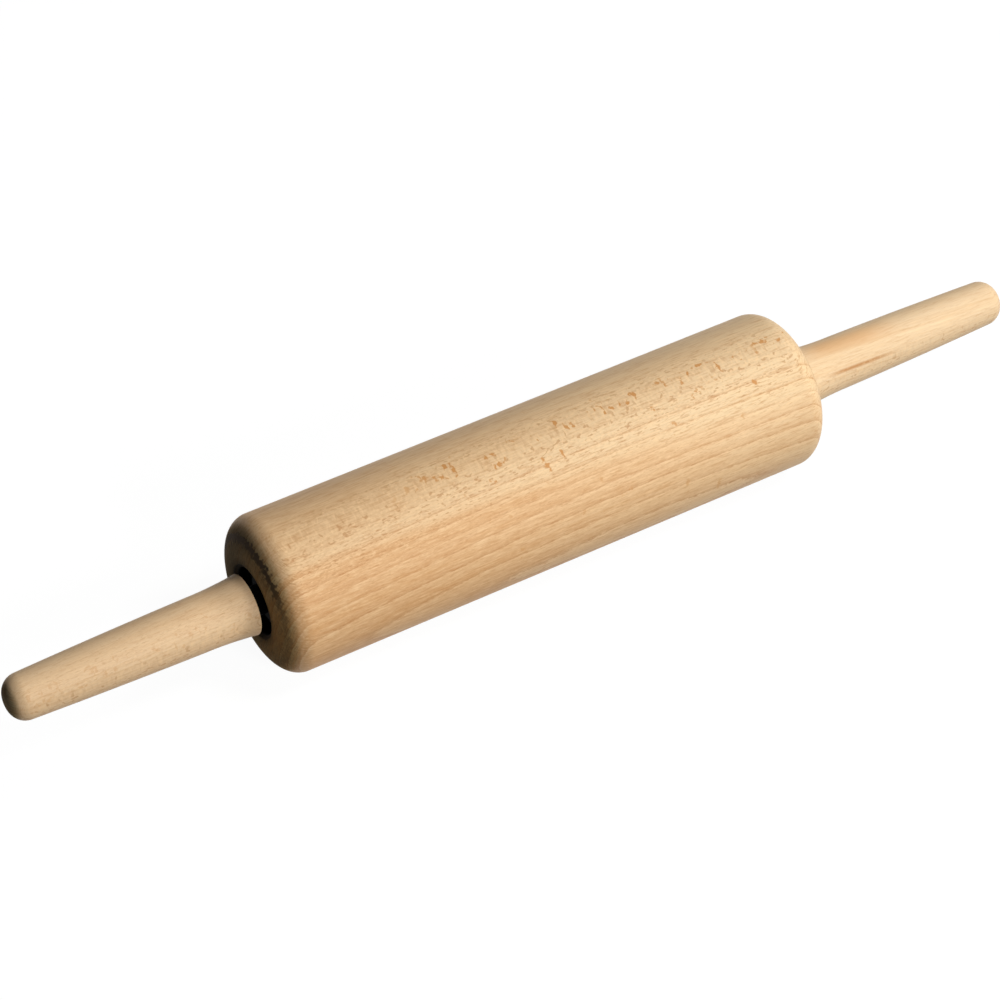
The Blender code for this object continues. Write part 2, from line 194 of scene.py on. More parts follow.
class AxleSizes(bpy.types.PropertyGroup):
    diameter: length("Diameter", "Across the rod and over its thread", 8 * MM)
    in_handle: length("In handle", "How far the rod reaches into a handle", 26 * MM)
    chamfer: length("Chamfer", "At the rod's ends", 0.8 * MM)
    thread_pitch: length("Thread pitch", "From crest to crest", 1.25 * MM)
    thread_depth: length("Thread depth", "From crest to root", 0.6 * MM)
    thread_length: length("Thread length", "From the rod's end", 24 * MM)
    groove_depth: length("Groove depth", "Seat of the retaining ring", 0.3 * MM)
    insert_diameter: length("Insert diameter", "Across the brass insert", 12 * MM)
    insert_length: length("Insert length", "Of the brass insert", 22 * MM)
    insert_ridge: length("Insert groove", "Depth of the grooves round it", 0.7 * MM)
    spacer_diameter: length("Spacer", "Across the sleeve beside the handle", 12.2 * MM)
    clip_width: length("Clip width", "Of the retaining ring, across its back", 2.1 * MM)
    clip_thickness: length("Clip thickness", "Of the retaining ring", 1 * MM)
    steps: count("Steps round", "Faces round the rod", 72)


class BearingSizes(bpy.types.PropertyGroup):
    diameter: length("Outer diameter", "Across the outer ring", 22 * MM)
    width: length("Width", "Over the rings", 7 * MM)
    bore: length("Bore", "Of the inner ring", 8 * MM)
    inner_shoulder: length("Inner shoulder", "Across the inner ring", 12.1 * MM)
    outer_shoulder: length("Outer shoulder", "Across the opening of the outer ring", 18 * MM)
    ball_diameter: length("Ball", "Across a ball", 3.97 * MM)
    ball_circle: length("Ball circle", "Across the circle of ball centres", 15 * MM)
    cage_wall: length("Cage wall", "Thickness of the cage", 2 * MM)
    balls: count("Balls", "In each bearing", 7)
    steps: count("Steps round", "Faces round a ring", 96)


class WoodColours(bpy.types.PropertyGroup):
    pale: colour("Pale beech", "Inner wood, where the rays lie flat", (0.845, 0.63, 0.37))
    warm: colour("Warm beech", "Outer wood, cut flat", (0.705, 0.385, 0.162))
    line: colour("Growth line", "Dark wood at the end of a year", (0.53, 0.235, 0.07))
    ray: colour("Ray", "Cut edges of the rays", (0.46, 0.20, 0.06))
    ray_face: colour("Ray face", "Rays that lie flat in the surface", (0.93, 0.65, 0.36))
    spot: colour("Spot", "Rays of dark, orange wood", (0.60, 0.27, 0.075))
    # The end grain tints hold painted shade as well as the darker colour of end grain: darker on the top
    # side
    end_grain_and_painted_shade_top: colour("End grain and painted shade, top", "Tint of wood cut across, with painted shade, on the top side", (0.32, 0.37, 0.4))
    end_grain_and_painted_shade_bottom: colour("End grain and painted shade, bottom", "Tint of wood cut across, with painted shade, on the bottom side", (0.55, 0.57, 0.47))
    left_grip: colour("Left grip", "Blank of the left handle", (0.81, 0.56, 0.32))
    right_grip: colour("Right grip", "Blank of the right handle", (0.84, 0.62, 0.37))


class MetalColours(bpy.types.PropertyGroup):
    bright_steel: colour("Bright steel", "Axle", (0.60, 0.60, 0.61))
    # Painted shade: the bearing rings are near-black, not bright steel, so that the recesses read as dark
    bearing_steel: colour("Bearing steel", "Bearing rings", (0.025, 0.025, 0.026))
    ball_steel: colour("Ball steel", "Bearing balls", (0.68, 0.68, 0.69))
    spring_steel: colour("Spring steel", "Retaining rings", (0.20, 0.20, 0.21))
    # Spacers and seals are black steel and rubber, made darker still as painted shade in the recesses
    black_steel: colour("Black steel", "Spacers", (0.004, 0.004, 0.0042))
    seal_rubber: colour("Seal rubber", "Bearing seals", (0.006, 0.006, 0.006))
    brass: colour("Brass", "Threaded inserts", (0.78, 0.60, 0.28))
    nylon: colour("Nylon", "Bearing cages", (0.80, 0.77, 0.68))


class StageSettings(bpy.types.PropertyGroup):
    elevation: number("Elevation", "Camera over the floor", math.radians(43.77), subtype="ANGLE")
    azimuth: number("Azimuth", "Camera towards the left handle", math.radians(30.65), subtype="ANGLE")
    distance: length("Distance", "From the camera to the roller's middle, straight ahead", 1403.485 * MM)
    aim_right: number("Aim right", "Roller's middle, right of the picture's", 11.716 * MM, unit="LENGTH")
    aim_up: number("Aim up", "Roller's middle, above the picture's", 4.627 * MM, unit="LENGTH")
    lens: number("Lens", "Focal length on a 36 mm sensor, in millimetres", 126.37, min=20.0)
    key_power: power("Key lamp", "High up, in front and to the right", 8.5)
    front_power: power("Front lamp", "In front of the roller's middle", 10.7)
    back_power: power("Back lamp", "Behind and to the right", 6.4)
    low_power: power("Low lamp", "Just over the floor, on the right", 5.4)
    ambient: number("Ambient", "Light from the room", 0.015, min=0.0)


def named(group, *keys):
    """Some of a group's settings, or all of them, by the names that the panel and the trees share."""
    properties = group.bl_rna.properties
    return {properties[key].name: getattr(group, key) for key in keys or type(group).__annotations__}


# Node trees written as Python expressions

def maths(operation, reflected=False):
    """A method that adds a Math node for a value and whatever else it is given."""

    def method(value, *others):
        values = (*others, value) if reflected else (value, *others)
        return value.tree.add("ShaderNodeMath", dict(enumerate(values)), operation=operation)[0]

    return method


class Value:
    """A socket of a node tree. Python's operators on it add Math nodes."""

    def __init__(self, tree, socket):
        self.tree = tree
        self.socket = socket

    __add__ = maths("ADD")
    __radd__ = maths("ADD", reflected=True)
    __sub__ = maths("SUBTRACT")
    __rsub__ = maths("SUBTRACT", reflected=True)
    __mul__ = maths("MULTIPLY")
    __rmul__ = maths("MULTIPLY", reflected=True)
    __truediv__ = maths("DIVIDE")
    __pow__ = maths("POWER")
    __lt__ = maths("LESS_THAN")
    at_least = maths("MAXIMUM")
    at_most = maths("MINIMUM")
    whole = maths("FLOOR")
    fraction = maths("FRACT")
    size = maths("ABSOLUTE")
    root = maths("SQRT")
    sine = maths("SINE")
    cosine = maths("COSINE")
    arc_tangent = maths("ARCTAN2")

    def __neg__(self):
        return 0.0 - self

    def between(self, low, high):
        return self.at_least(low).at_most(high)


class Node:
    """A node whose outputs are read by name or by number."""

    def __init__(self, tree, node):
        self.tree = tree
        self.node = node

    def __getitem__(self, key):
        outputs = [socket for socket in self.node.outputs if socket.enabled]
        if isinstance(key, str):
            return Value(self.tree, next(socket for socket in outputs if socket.name == key))
        return Value(self.tree, outputs[key])


class Tree:
    """A node tree that nodes are added to."""

    def __init__(self, tree):
        self.tree = tree

    def add(self, kind, values=None, stops=(), **settings):
        """Add a node, set its settings and its ramp's stops, then its sockets' values or links."""
        node = self.tree.nodes.new(kind)
        for name, setting in settings.items():
            setattr(node, name, setting)
        if stops:
            self.set_stops(node.color_ramp, stops)
        inputs = [socket for socket in node.inputs if socket.enabled]
        for key, value in (values or {}).items():
            if isinstance(key, str):
                socket = next(socket for socket in inputs if socket.name == key)
            else:
                socket = inputs[key]
            for item in value if isinstance(value, list) else [value]:
                self.give(socket, item)
        return Node(self, node)

    def give(self, socket, value):
        """Link a value to a socket or set it there. A colour of three numbers gets its alpha."""
        if isinstance(value, Value):
            self.tree.links.new(value.socket, socket)
        elif socket.type == "RGBA":
            socket.default_value = (*value, 1.0)
        else:
            socket.default_value = value

    def set_stops(self, ramp, stops):
        """Stops are (position, level) or (position, colour)."""
        while len(ramp.elements) < len(stops):
            ramp.elements.new(1.0)
        for element, (position, level) in zip(ramp.elements, stops):
            element.position = position
            element.color = (*level, 1.0) if hasattr(level, "__len__") else (level, level, level, 1.0)

    def vector(self, x, y, z):
        return self.add("ShaderNodeCombineXYZ", {0: x, 1: y, 2: z})[0]

    def parts(self, vector):
        node = self.add("ShaderNodeSeparateXYZ", {0: vector})
        return node[0], node[1], node[2]

    def place(self):
        return self.add("ShaderNodeTexCoord")["Object"]

    def attribute(self, name):
        return self.add("ShaderNodeAttribute", attribute_name=name)["Fac"]

    def blend(self, factor, first, second, way="MIX"):
        """Mix two colours."""
        values = {"Factor": factor, "A": first, "B": second}
        return self.add("ShaderNodeMix", values, data_type="RGBA", blend_type=way)[0]

    def layers(self, wood, *layers):
        """Lay colours over the wood in turn, each as thickly as its mask says."""
        for mask, tint in layers:
            wood = self.blend(mask, wood, tint)
        return wood

    def ramp(self, value, *stops):
        return self.add("ShaderNodeValToRGB", {0: value}, stops)[0]

    def smooth(self, value, low, high):
        """0 below low, 1 above high, and a soft step between."""
        values = {"Value": value, 1: low, 2: high}
        return self.add("ShaderNodeMapRange", values, interpolation_type="SMOOTHSTEP")[0]

    def noise(self, place, detail=2.0, roughness=0.5, scale=1.0):
        """Noise about 0, between about -0.5 and 0.5, at a place or at its three parts."""
        if isinstance(place, tuple):
            place = self.vector(*place)
        values = {"Vector": place, "Scale": scale, "Detail": detail, "Roughness": roughness}
        return self.add("ShaderNodeTexNoise", values)[0] - 0.5

    def bump(self, height, strength, distance):
        values = {"Strength": strength, "Distance": distance, "Height": height}
        return self.add("ShaderNodeBump", values)["Normal"]

    def seen(self):
        """1 where the camera sees a surface itself, in a reflection or through another, and 0 elsewhere."""
        path = self.add("ShaderNodeLightPath")
        return path["Is Camera Ray"].at_least(path["Is Glossy Ray"]).at_least(path["Is Transmission Ray"])


def empty_tree(owner):
    """The emptied node tree of a material or a world."""
    owner.use_nodes = True
    owner.node_tree.nodes.clear()
    return Tree(owner.node_tree)


def new_material(name):
    material = bpy.data.materials.new(name)
    return material, empty_tree(material)


# Geometry node trees

def geometry_tree(name, inputs):
    """A new tree and its inputs: a Geometry, the named numbers, the axle's height and a Material."""
    tree = bpy.data.node_groups.new(name, "GeometryNodeTree")
    tree.is_modifier = True
    tree.interface.new_socket("Geometry", in_out="INPUT", socket_type="NodeSocketGeometry")
    for label, default in {**inputs, "Axis height": AXIS_HEIGHT}.items():
        kind = "NodeSocketInt" if isinstance(default, int) else "NodeSocketFloat"
        tree.interface.new_socket(label, in_out="INPUT", socket_type=kind).default_value = default
    tree.interface.new_socket("Material", in_out="INPUT", socket_type="NodeSocketMaterial")
    tree.interface.new_socket("Geometry", in_out="OUTPUT", socket_type="NodeSocketGeometry")
    tree = Tree(tree)
    return tree, tree.add("NodeGroupInput")


def finish_tree(tree, given, geometry):
    """End a tree: make instances real, give the material and hand out the result."""
    real = tree.add("GeometryNodeRealizeInstances", {"Geometry": geometry})[0]
    painted = tree.add("GeometryNodeSetMaterial", {"Geometry": real, "Material": given["Material"]})[0]
    tree.add("NodeGroupOutput", {0: painted})
    return tree.tree


def grid_rows(tree, rows, columns):
    """A grid to be wrapped round, with the row and column of each of its points."""
    grid = tree.add("GeometryNodeMeshGrid", {"Vertices X": rows, "Vertices Y": columns})["Mesh"]
    index = tree.add("GeometryNodeInputIndex")[0]
    row = (index / columns).whole()
    return grid, row, index - row * columns


def wrap_round(tree, given, grid, station, radius, turn):
    """Put a grid's points on circles round the axle."""
    angle = turn * TURN
    place = tree.vector(station, radius * angle.cosine(), radius * angle.sine() + given["Axis height"])
    return tree.add("GeometryNodeSetPosition", {"Geometry": grid, "Position": place})[0]


def weld(tree, geometry):
    return tree.add("GeometryNodeMergeByDistance", {"Geometry": geometry, "Distance": WELD_DISTANCE})[0]


def turning_tree():
    """Turns a line of points (station, radius) round the axle, with a thread where it is marked."""
    inputs = {"Steps round": 96, "Thread pitch": 1.25 * MM, "Thread depth": 0.0}
    tree, given = geometry_tree("Turned piece", inputs)
    line = given["Geometry"]
    steps = given["Steps round"]
    rows = tree.add("GeometryNodeAttributeDomainSize", {"Geometry": line})["Point Count"]
    grid, row, column = grid_rows(tree, rows, steps + 1)
    position = tree.add("GeometryNodeInputPosition")[0]
    sample = {"Geometry": line, "Value": position, "Index": row}
    point = tree.add("GeometryNodeSampleIndex", sample, data_type="FLOAT_VECTOR")[0]
    mark = tree.add("GeometryNodeInputNamedAttribute", {"Name": "thread"}, data_type="FLOAT")[0]
    thread = tree.add("GeometryNodeSampleIndex", {**sample, "Value": mark}, data_type="FLOAT")[0]
    station, radius, _ = tree.parts(point)
    turn = column / steps
    flank = ((station / given["Thread pitch"] - turn).fraction() * 2 - 1).size()
    groove = tree.smooth(flank, 0.12, 0.9) * thread * given["Thread depth"]
    shell = wrap_round(tree, given, grid, station, radius - groove, turn)
    return finish_tree(tree, given, weld(tree, shell))


def turned_inside(tree, given):
    """The line of points that a tree is given, turned round the axle."""
    values = {name: given[name] for name in ("Geometry", "Steps round", "Axis height", "Material")}
    return tree.add("GeometryNodeGroup", values, node_tree=ready_tree("Turned piece"))[0]


def quarter_drop(reach, share):
    """How far a quarter round falls away: not at all at 0, and by its whole reach at 1."""
    return reach * (1 - (1 - share * share).at_least(0.0).root())


def handle_tree():
    """The grip's outside by rule, joined to its face and bore, which are turned from points."""
    sizes = named(bpy.context.scene.pin_handle)
    tree, given = geometry_tree("Turned handle", {**sizes, "Face station": HANDLE_FACE, "Side": 1.0})
    rows = given["Rows"]
    grid, row, column = grid_rows(tree, rows + 1, given["Steps round"] + 1)
    share = (row / (rows - 1)).at_most(1.0)
    height = (0.5 - (share * math.pi).cosine() * 0.5) * given["Length"]
    rim = given["Rim"] / 2
    neck = given["Neck"] / 2
    end = given["End"] / 2
    flare = (rim - neck) * (1 - height / given["Flare"]).at_least(0.0) ** 2
    tip_start = given["Length"] - given["Tip along"]
    taper = ((height - given["Flare"]) / (tip_start - given["Flare"])).between(0.0, 1.0)
    grip = neck + (end - neck) * taper + given["Belly"] * 4 * taper * (1 - taper) + flare
    over_tip = ((height - tip_start) / given["Tip along"]).between(0.0, 1.0)
    over_rim = (1 - height / given["Rim round"]).between(0.0, 1.0)
    tip_drop = quarter_drop(given["Tip across"], over_tip)
    rim_drop = quarter_drop(given["Rim round"], over_rim)
    radius = (grip - tip_drop - rim_drop) * (row < rows - 0.5)
    station = given["Side"] * (given["Face station"] + height)
    skin = wrap_round(tree, given, grid, station, radius, column / given["Steps round"])
    both = tree.add("GeometryNodeJoinGeometry", {0: [skin, turned_inside(tree, given)]})[0]
    return finish_tree(tree, given, weld(tree, both))


def ring_of_balls(tree, given, ball_radius, faces):
    """Balls set evenly on the bearing's circle."""
    index = tree.add("GeometryNodeInputIndex")[0]
    angle = (index + 0.5) / given["Balls"] * TURN
    radius = given["Ball circle"] / 2
    up = given["Axis height"] - given["Side"] * radius * angle.cosine()
    place = tree.vector(given["Station"], radius * angle.sine(), up)
    points = tree.add("GeometryNodePoints", {"Count": given["Balls"], "Position": place})[0]
    values = {"Segments": faces[0], "Rings": faces[1], "Radius": ball_radius}
    ball = tree.add("GeometryNodeMeshUVSphere", values)["Mesh"]
    return tree.add("GeometryNodeInstanceOnPoints", {"Points": points, "Instance": ball})[0]


def ball_values(side):
    """What both trees of a bearing are told about its balls."""
    values = named(bpy.context.scene.pin_bearing, "balls", "ball_diameter", "ball_circle")
    return {**values, "Station": side * BEARING_MIDDLE, "Side": float(side)}


def balls_tree():
    """A bearing's balls, set evenly on a circle."""
    tree, given = geometry_tree("Bearing balls", ball_values(1))
    return finish_tree(tree, given, ring_of_balls(tree, given, given["Ball"] / 2, BALL_FACES))


def cage_tree():
    """A crown cage: a turned ring with a round pocket cut for each ball."""
    inputs = {**ball_values(1), "Steps round": 96, "Pocket play": POCKET_PLAY}
    tree, given = geometry_tree("Bearing cage", inputs)
    pockets = ring_of_balls(tree, given, given["Ball"] / 2 + given["Pocket play"], POCKET_FACES)
    values = {"Mesh 1": turned_inside(tree, given), "Mesh 2": pockets}
    cut = tree.add("GeometryNodeMeshBoolean", values, operation="DIFFERENCE", solver="MANIFOLD")
    return finish_tree(tree, given, cut["Mesh"])


TREES = {
    "Turned piece": turning_tree,
    "Turned handle": handle_tree,
    "Bearing balls": balls_tree,
    "Bearing cage": cage_tree,
}


def ready_tree(name):
    """A geometry tree, built when it is first asked for."""
    return bpy.data.node_groups.get(name) or TREES[name]()


# Pieces

def put(name, data):
    """A new object in the scene."""
    thing = bpy.data.objects.new(name, data)
    bpy.context.scene.collection.objects.link(thing)
    return thing


def as_mesh(shape):
    """An object's evaluated mesh. The object is removed."""
    depsgraph = bpy.context.evaluated_depsgraph_get()
    mesh = bpy.data.meshes.new_from_object(shape.evaluated_get(depsgraph))
    bpy.data.objects.remove(shape, do_unlink=True)
    return mesh


def store(mesh, name, values):
    mesh.attributes.new(name, "FLOAT", "POINT").data.foreach_set("value", values)


def grown(name, line, tree_name, values, marks=None):
    """Run a geometry tree on a line of points and keep its result as a plain mesh object."""
    mesh = bpy.data.meshes.new(name + "_line")
    points = [(station, radius, 0.0) for station, radius in line]
    mesh.from_pydata(points, [(i, i + 1) for i in range(len(points) - 1)], [])
    store(mesh, "thread", marks or [0.0] * len(points))
    blank = put(name + "_line", mesh)
    group = ready_tree(tree_name)
    modifier = blank.modifiers.new(group.name, "NODES")
    modifier.node_group = group
    inputs = {item.name: item.identifier for item in group.interface.items_tree if item.in_out == "INPUT"}
    for label, value in values.items():
        modifier[inputs[label]] = value
    result = as_mesh(blank)
    bpy.data.meshes.remove(mesh)
    return add_piece(name, result)


def add_piece(name, mesh):
    """Turn a mesh's faces outwards, smooth it and put it in the scene."""
    bm = bmesh.new()
    bm.from_mesh(mesh)
    if bm.calc_volume(signed=True) < 0:
        bmesh.ops.reverse_faces(bm, faces=bm.faces)
    open_edges = sum(1 for edge in bm.edges if not edge.is_manifold)
    faces = len(bm.faces)
    bm.to_mesh(mesh)
    bm.free()
    if not faces or open_edges:
        raise RuntimeError(f"{name} has {faces} faces and {open_edges} open edges")
    mesh.name = name
    mesh.shade_smooth()
    mesh.set_sharp_from_angle(angle=SHARP_ANGLE)
    return put(name, mesh)


def fit(piece, body, slot, *nodes):
    """Say what a finished piece rides on and which nodes it stands for. Its slot is not used."""
    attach(piece, body)
    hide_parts(*nodes)


def turned(name, line, steps, body, slot, node, marks=None, **thread):
    """Turn a small part from a line of points and fit it."""
    values = {"Steps round": steps, "Material": finish(slot)}
    for key, size in thread.items():
        values["Thread " + key] = size
    fit(grown(name, line, "Turned piece", values, marks), body, slot, node)


# Outlines, as lines of (station, radius)

def even(start, end, segments):
    return [start + (end - start) * index / segments for index in range(segments + 1)]


def arc(centre, along, across, start, end, segments):
    """Points of an ellipse's arc, with angles in degrees from the way across."""
    angles = [math.radians(angle) for angle in even(start, end, segments)]
    return [(centre[0] + along * math.sin(a), centre[1] + across * math.cos(a)) for a in angles]


def mirrored(half):
    """The same line on the other side of station 0, from its end to its start."""
    return [(-station, radius) for station, radius in reversed(half)]


def on_side(line, side):
    return [(side * station, radius) for station, radius in line]


def roller_line(sizes, bearing):
    end = sizes.length / 2
    radius = sizes.diameter / 2
    edge_centre = (end - sizes.edge_along, radius - sizes.edge_across)
    recess = sizes.recess_diameter / 2
    lip_centre = (end - sizes.lip_round, recess + sizes.lip_round)
    floor = end - sizes.recess_depth
    pocket = bearing.diameter / 2 + SEAT_PLAY
    pocket_floor = floor - bearing.width - CLEARANCE
    half = [(station, radius) for station in even(0, end - sizes.edge_along, BARREL_ROWS)[1:-1]]
    half += arc(edge_centre, sizes.edge_along, sizes.edge_across, 0, 90, EDGE_ROWS)
    half += arc(lip_centre, sizes.lip_round, sizes.lip_round, 90, 180, LIP_ROWS)
    half += [(floor, recess), (floor, pocket + BEARING_CHAMFER), (floor - BEARING_CHAMFER, pocket)]
    half += [(pocket_floor, pocket), (pocket_floor, sizes.bore_diameter / 2)]
    return half + mirrored(half) + half[:1]


def handle_bore_line(sizes, axle):
    """From the drilled point out to the face and across it to the rim."""
    face = HANDLE_FACE
    insert_hole = axle.insert_diameter / 2 + SEAT_PLAY
    axle_hole = axle.diameter / 2 + CLEARANCE
    hole_end = face + axle.in_handle + DRILLED_PAST_ROD
    seat = face + axle.insert_length + SEAT_PLAY
    return [
        (hole_end + axle_hole / math.tan(DRILL_POINT_ANGLE / 2), 0.0),
        (hole_end, axle_hole),
        (seat, axle_hole),
        (seat, insert_hole),
        (face + HOLE_CHAMFER, insert_hole),
        (face, insert_hole + HOLE_CHAMFER),
        (face, sizes.rim_diameter / 2 - sizes.rim_round),
    ]


def axle_line(axle):
    """The rod's outline and, for each point, how deep the thread is cut there."""
    radius = axle.diameter / 2
    end = HANDLE_FACE + axle.in_handle
    thread_start = end - axle.thread_length
    groove_half = axle.clip_thickness / 2 + GROOVE_PLAY
    groove_start, groove_end = CLIP_MIDDLE - groove_half, CLIP_MIDDLE + groove_half
    groove = radius - axle.groove_depth
    half = [(station, radius) for station in even(0, groove_start, ROD_ROWS)[1:]]
    half += [(groove_start, groove), (groove_end, groove), (groove_end, radius)]
    marks = [0.0] * len(half)
    rows = round(axle.thread_length / axle.thread_pitch * THREAD_ROWS_PER_TURN)
    for station in even(thread_start, end, rows):
        left = end - station
        half.append((station, radius - max(0.0, axle.chamfer - left)))
        run_in = min(1.0, (station - thread_start) / axle.thread_pitch)
        run_out = min(1.0, left / axle.chamfer)
        marks.append(run_in * run_out)
    half.append((end, 0.0))
    marks.append(0.0)
    return mirrored(half) + half, marks[::-1] + marks


def insert_line(axle):
    """A sleeve with two grooves round it, and for each point how deep the thread in its bore is there."""
    radius = axle.insert_diameter / 2
    bore = axle.diameter / 2 + THREAD_PLAY
    near = HANDLE_FACE + INSERT_SUNK
    far = HANDLE_FACE + axle.insert_length
    line = [(near, radius - BEARING_CHAMFER), (near + BEARING_CHAMFER, radius)]
    for share in (1 / 3, 2 / 3):
        middle = HANDLE_FACE + axle.insert_length * share
        for offset, drop in ((-1.2, 0), (-0.8, 1), (0.8, 1), (1.2, 0)):
            line.append((middle + offset * MM, radius - drop * axle.insert_ridge))
    line += [(far - BEARING_CHAMFER, radius), (far, radius - BEARING_CHAMFER)]
    marks = [0.0] * len(line)
    rows = round(axle.insert_length / axle.thread_pitch * THREAD_ROWS_PER_TURN)
    for station in even(far, near, rows):
        line.append((station, bore))
        marks.append(min(1.0, min(station - near, far - station) / (0.5 * axle.thread_pitch)))
    return line + line[:1], marks + [0.0]


def sleeve_line(inner, outer, start, end, chamfer):
    return [
        (start, inner + chamfer),
        (start, outer - chamfer),
        (start + chamfer, outer),
        (end - chamfer, outer),
        (end, outer - chamfer),
        (end, inner + chamfer),
        (end - chamfer, inner),
        (start + chamfer, inner),
        (start, inner + chamfer),
    ]


def spacer_line(axle, bearing):
    start = BEARING_MIDDLE + bearing.width / 2 + SEAT_PLAY
    inner = axle.diameter / 2 + 2 * SEAT_PLAY
    return sleeve_line(inner, axle.spacer_diameter / 2, start, HANDLE_FACE - SEAT_PLAY, SLEEVE_CHAMFER)


def race(bearing, shoulder, outward):
    """The ball groove from one shoulder to the other, round the balls."""
    radius = bearing.ball_diameter / 2 + RACE_PLAY
    circle = bearing.ball_circle / 2
    reach = math.degrees(math.acos(abs(shoulder - circle) / radius))
    points = arc((0.0, 0.0), radius, radius, -reach, reach, RACE_ROWS)
    return [(BEARING_MIDDLE + station, circle + outward * height) for station, height in points]


def inner_ring_line(bearing):
    cut = BEARING_CHAMFER
    shoulder = bearing.inner_shoulder / 2
    bore = bearing.bore / 2 + SEAT_PLAY
    low, high = BEARING_MIDDLE - bearing.width / 2, BEARING_MIDDLE + bearing.width / 2
    line = [(low, bore + cut), (low, shoulder - cut), (low + cut, shoulder)]
    line += race(bearing, shoulder, -1)
    line += [(high - cut, shoulder), (high, shoulder - cut), (high, bore + cut), (high - cut, bore)]
    return line + [(low + cut, bore), line[0]]


def outer_ring_line(bearing):
    cut = BEARING_CHAMFER
    shoulder = bearing.outer_shoulder / 2
    outside = bearing.diameter / 2
    seat = shoulder + SEAL_SEAT_DEPTH
    seat_width = SEAL_INSET + SEAL_THICKNESS + SEAT_PLAY
    low, high = BEARING_MIDDLE - bearing.width / 2, BEARING_MIDDLE + bearing.width / 2
    line = [(low + cut, outside), (low, outside - cut), (low, seat)]
    line += [(low + seat_width, seat), (low + seat_width, shoulder)]
    line += race(bearing, shoulder, 1)
    line += [(high - seat_width, shoulder), (high - seat_width, seat), (high, seat)]
    return line + [(high, outside - cut), (high - cut, outside), line[0]]


def seal_line(bearing, face):
    """A moulded seal with a shallow step, on the handle's side for face 1."""
    inner = bearing.inner_shoulder / 2 + CLEARANCE
    outer = bearing.outer_shoulder / 2 + SEAL_SEAT_DEPTH - SEAT_PLAY
    top = bearing.width / 2 - SEAL_INSET
    bottom = top - SEAL_THICKNESS
    bend = inner + (outer - inner) * 0.3
    bend_end = bend + SEAL_SLOPE
    section = [
        (bottom - SEAL_STEP, inner),
        (bottom - SEAL_STEP, bend),
        (bottom, bend_end),
        (bottom, outer),
        (top, outer),
        (top, bend_end),
        (top - SEAL_STEP, bend),
        (top - SEAL_STEP, inner),
        (bottom - SEAL_STEP, inner),
    ]
    return [(BEARING_MIDDLE + face * station, radius) for station, radius in section]


def cage_line(bearing):
    inner = (bearing.ball_circle - bearing.cage_wall) / 2
    outer = (bearing.ball_circle + bearing.cage_wall) / 2
    front = BEARING_MIDDLE + bearing.ball_diameter / 2 + CAGE_FRONT
    return sleeve_line(inner, outer, BEARING_MIDDLE - CAGE_BACK, front, CAGE_CHAMFER)


# Beech

class Mark(NamedTuple):
    """A soft streak on a turned piece, between two places (station in mm, degrees up from the front)."""

    start: tuple
    end: tuple
    width: float
    strength: float
    tint: tuple


class Blank(NamedTuple):
    """How a piece was cut from its tree, in mm and degrees, and how strongly its grain shows."""

    pith_angle: float
    pith_distance: float
    bow: float
    tilt: float
    year: float
    narrowing: float
    offset: float
    seed: float
    rays: float
    lines: float
    streaks: float
    spots: float
    threads: float
    spots_from: float = -1000.0
    hollowed: bool = False
    marks: tuple = ()


ROLLER_BLANK = Blank(
    pith_angle=19.0, pith_distance=260.0, bow=1.9e-4, tilt=-0.0119, year=0.1365, narrowing=0.00254,
    offset=-1.477, seed=0.0, rays=1.0, lines=1.0, streaks=0.16, spots=1.0, threads=1.0,
    spots_from=-60.0, hollowed=True,
)
LEFT_BLANK = Blank(
    pith_angle=88.0, pith_distance=150.0, bow=1.0e-4, tilt=0.01, year=0.18, narrowing=0.0,
    offset=0.3, seed=40.0, rays=0.8, lines=0.4, streaks=0.2, spots=0.4, threads=0.5,
)
RIGHT_BLANK = Blank(
    pith_angle=84.0, pith_distance=120.0, bow=1.0e-4, tilt=0.03, year=0.2, narrowing=0.0,
    offset=0.45, seed=90.0, rays=0.7, lines=0.55, streaks=0.3, spots=0.2, threads=0.6,
    marks=(
        Mark((126.0, 98.0), (182.0, 76.0), 36.0, 0.7, (0.79, 0.45, 0.20)),
        Mark((133.0, 28.5), (178.0, 20.0), 6.5, 0.9, (0.52, 0.24, 0.08)),
    ),
)


# Through a year: how dark its late wood is, and how pale its early wood
LINE_STOPS = ((0.0, 0.1), (0.1, 0.0), (0.45, 0.0), (0.8, 0.25), (0.92, 0.55), (0.96, 1.0), (1.0, 0.4))
FRESH_STOPS = ((0.0, 0.0), (0.025, 1.0), (0.14, 0.5), (0.45, 0.1), (0.8, 0.0))


class Grain(NamedTuple):
    """How the wood lies at each point: places in the tree in mm, and noises about 0."""

    along: Value
    out: Value
    round_pith: Value
    grown_out: Value
    jag: Value
    swerve: Value
    fibre: Value


def wood_places(tree, blank):
    """Where a point lies in the tree trunk: along the grain, out from the pith and round it, in mm."""
    pith_angle = math.radians(blank.pith_angle)
    shift = Matrix.Rotation(-pith_angle, 3, "X") @ Vector((0.0, 0.0, AXIS_HEIGHT / MM))
    values = {
        "Vector": tree.place(),
        "Location": (blank.seed * 10.0, -shift.y, -shift.z),
        "Rotation": (-pith_angle, 0.0, 0.0),
        "Scale": (1 / MM, 1 / MM, 1 / MM),
    }
    shifted, inward, aside = tree.parts(tree.add("ShaderNodeMapping", values)["Vector"])
    along = shifted - blank.seed * 10.0
    depth = blank.pith_distance - inward
    out = (depth * depth + aside * aside).root() - blank.pith_distance
    round_pith = aside * blank.pith_distance / (out + blank.pith_distance)
    return along, out, round_pith


